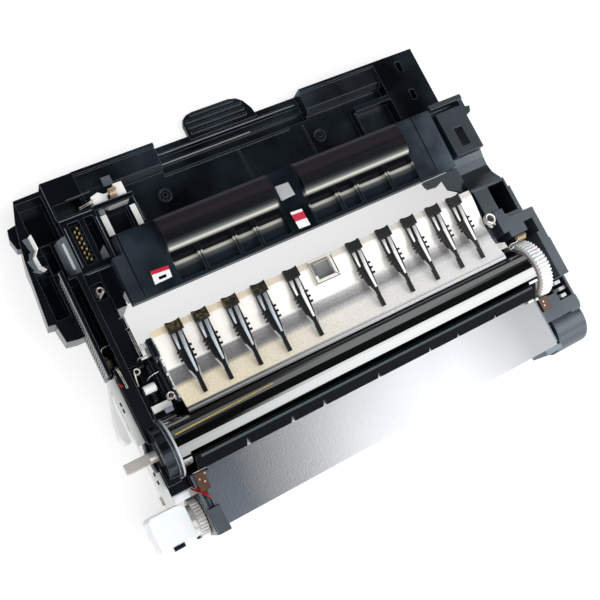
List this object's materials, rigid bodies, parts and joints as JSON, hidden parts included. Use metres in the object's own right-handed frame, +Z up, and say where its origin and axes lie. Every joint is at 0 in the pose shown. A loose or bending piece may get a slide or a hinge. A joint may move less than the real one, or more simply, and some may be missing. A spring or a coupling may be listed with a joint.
{
  "type": "printer drum unit",
  "caption": "Laser printer drum unit: glossy roller with an end gear, curved guide sheet with sprung claws, front plate, lidded waste box and a rear tray with a finger grip.",
  "frame": {"origin": "middle of the footprint, on the floor that the unit lies on", "axes": "+X along the drum towards its gear, +Y from the front plate towards the rear grip, +Z up"},
  "size_m": [0.284, 0.225, 0.0486],
  "materials": {
    "black_plastic": "satin moulded",
    "drum_coating": "mirror gloss",
    "white_gear": "satin",
    "white_cap": "milky",
    "flange_plastic": "satin",
    "plain_steel": "ground",
    "bright_sheet": "bright rolled",
    "satin_plate": "fine satin",
    "roller_rubber": "smooth",
    "brown_board": "lacquered",
    "cream_plastic": "satin"
  },
  "bodies": {
    "frame": {"guide_sheet": "bright_sheet", "sheet_beam": "black_plastic", "front_plate": "satin_plate", "front_beam": "black_plastic", "bottom_cover": "black_plastic", "notched_strip": "black_plastic", "board_left": "brown_board", "board_right": "brown_board", "side_block": "black_plastic", "gear_cap": "white_cap", "end_cap": "black_plastic", "waste_box": "black_plastic", "waste_lid": "black_plastic", "rear_tray": "black_plastic", "left_frame": "black_plastic", "right_frame": "black_plastic", "side_plate": "satin_plate", "side_cover": "white_cap", "side_shelf": "white_cap", "plate_screw_1": "plain_steel", "plate_screw_2": "plain_steel", "plate_screw_3": "plain_steel", "plate_screw_4": "plain_steel", "contact_plate": "black_plastic", "lever_post": "black_plastic", "white_roller": "cream_plastic", "slide_lever": "cream_plastic"},
    "drum": {"drum_sleeve": "drum_coating", "drum_gear": "white_gear", "drum_flange": "flange_plastic", "drum_shaft": "plain_steel"},
    "charger": {"charge_roller": "roller_rubber"},
    "feeder": {"feed_gear": "plain_steel", "feed_shaft": "plain_steel"},
    "claw_01": {"finger_01": "black_plastic"},
    "claw_02": {"finger_02": "black_plastic"},
    "claw_03": {"finger_03": "black_plastic"},
    "claw_04": {"finger_04": "black_plastic"},
    "claw_05": {"finger_05": "black_plastic"},
    "claw_06": {"finger_06": "black_plastic"},
    "claw_07": {"finger_07": "black_plastic"},
    "claw_08": {"finger_08": "black_plastic"},
    "claw_09": {"finger_09": "black_plastic"},
    "claw_10": {"finger_10": "black_plastic"},
    "lever": {"release_lever": "cream_plastic"}
  },
  "joints": [
    {"name": "drum_spin", "type": "hinge", "parent": "frame", "child": "drum", "pos_m": [0, -0.0603, 0.03], "axis": [1, 0, 0], "continuous": true},
    {"name": "charger_spin", "type": "hinge", "parent": "frame", "child": "charger", "pos_m": [0, -0.0683, 0.0118], "axis": [1, 0, 0], "continuous": true},
    {"name": "feeder_spin", "type": "hinge", "parent": "frame", "child": "feeder", "pos_m": [0, -0.0979, 0.018], "axis": [1, 0, 0], "continuous": true},
    {"name": "claw_01_lift", "type": "hinge", "parent": "frame", "child": "claw_01", "pos_m": [-0.0874, -0.0038, 0.042], "axis": [-1, 0, 0], "range_deg": [0, 8], "stiffness_Nm_per_rad": 0.002},
    {"name": "claw_02_lift", "type": "hinge", "parent": "frame", "child": "claw_02", "pos_m": [-0.0724, -0.0038, 0.042], "axis": [-1, 0, 0], "range_deg": [0, 8], "stiffness_Nm_per_rad": 0.002},
    {"name": "claw_03_lift", "type": "hinge", "parent": "frame", "child": "claw_03", "pos_m": [-0.0549, -0.0038, 0.042], "axis": [-1, 0, 0], "range_deg": [0, 8], "stiffness_Nm_per_rad": 0.002},
    {"name": "claw_04_lift", "type": "hinge", "parent": "frame", "child": "claw_04", "pos_m": [-0.0375, -0.0038, 0.042], "axis": [-1, 0, 0], "range_deg": [0, 8], "stiffness_Nm_per_rad": 0.002},
    {"name": "claw_05_lift", "type": "hinge", "parent": "frame", "child": "claw_05", "pos_m": [-0.0176, -0.0038, 0.042], "axis": [-1, 0, 0], "range_deg": [0, 8], "stiffness_Nm_per_rad": 0.002},
    {"name": "claw_06_lift", "type": "hinge", "parent": "frame", "child": "claw_06", "pos_m": [0.0228, -0.0038, 0.042], "axis": [-1, 0, 0], "range_deg": [0, 8], "stiffness_Nm_per_rad": 0.002},
    {"name": "claw_07_lift", "type": "hinge", "parent": "frame", "child": "claw_07", "pos_m": [0.0427, -0.0038, 0.042], "axis": [-1, 0, 0], "range_deg": [0, 8], "stiffness_Nm_per_rad": 0.002},
    {"name": "claw_08_lift", "type": "hinge", "parent": "frame", "child": "claw_08", "pos_m": [0.0601, -0.0038, 0.042], "axis": [-1, 0, 0], "range_deg": [0, 8], "stiffness_Nm_per_rad": 0.002},
    {"name": "claw_09_lift", "type": "hinge", "parent": "frame", "child": "claw_09", "pos_m": [0.0776, -0.0038, 0.042], "axis": [-1, 0, 0], "range_deg": [0, 8], "stiffness_Nm_per_rad": 0.002},
    {"name": "claw_10_lift", "type": "hinge", "parent": "frame", "child": "claw_10", "pos_m": [0.0926, -0.0038, 0.042], "axis": [-1, 0, 0], "range_deg": [0, 8], "stiffness_Nm_per_rad": 0.002},
    {"name": "lever_turn", "type": "hinge", "parent": "frame", "child": "lever", "pos_m": [-0.0837, 0.0743, 0.022], "axis": [0, 0, 1], "range_deg": [0, 10], "stiffness_Nm_per_rad": 0.01}
  ]
}
